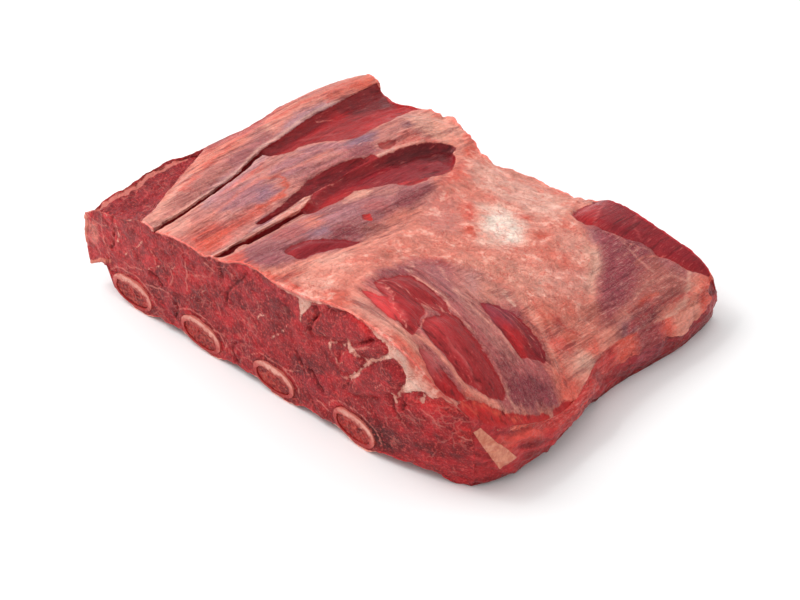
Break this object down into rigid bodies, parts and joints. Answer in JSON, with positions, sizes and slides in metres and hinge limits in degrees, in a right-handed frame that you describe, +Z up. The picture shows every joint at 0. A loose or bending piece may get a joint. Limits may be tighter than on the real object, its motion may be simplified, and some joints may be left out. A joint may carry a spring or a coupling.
{
  "type": "raw beef short ribs",
  "caption": "Slab of raw beef short ribs, bone side down: a row of sawn ribs under a thick block of red meat, its top part fat and silvery membrane with slits between the muscles.",
  "frame": {"origin": "middle of the underside, on the surface that the slab lies on", "axes": "+X along the sawn front face, square to the ribs, towards the thick rounded end of the slab; +Y back along the ribs, away from the sawn face; +Z up, from the bone side to the fat side"},
  "size_m": [0.2796, 0.206, 0.0792],
  "materials": {
    "lean": "moist raw red muscle with pale marbling",
    "fat": "moist pinkish cream fat",
    "tendon": "smooth moist tan tendon",
    "bone": "sawn cream bone tinged with red",
    "marrow": "dark red spongy marrow"
  },
  "bodies": {
    "root": {"lean_meat": "lean", "fat_layer": "fat", "tendon": "tendon", "rib_bone_1": "bone", "rib_bone_2": "bone", "rib_bone_3": "bone", "rib_bone_4": "bone", "rib_marrow_1": "marrow", "rib_marrow_2": "marrow", "rib_marrow_3": "marrow", "rib_marrow_4": "marrow"}
  },
  "joints": []
}
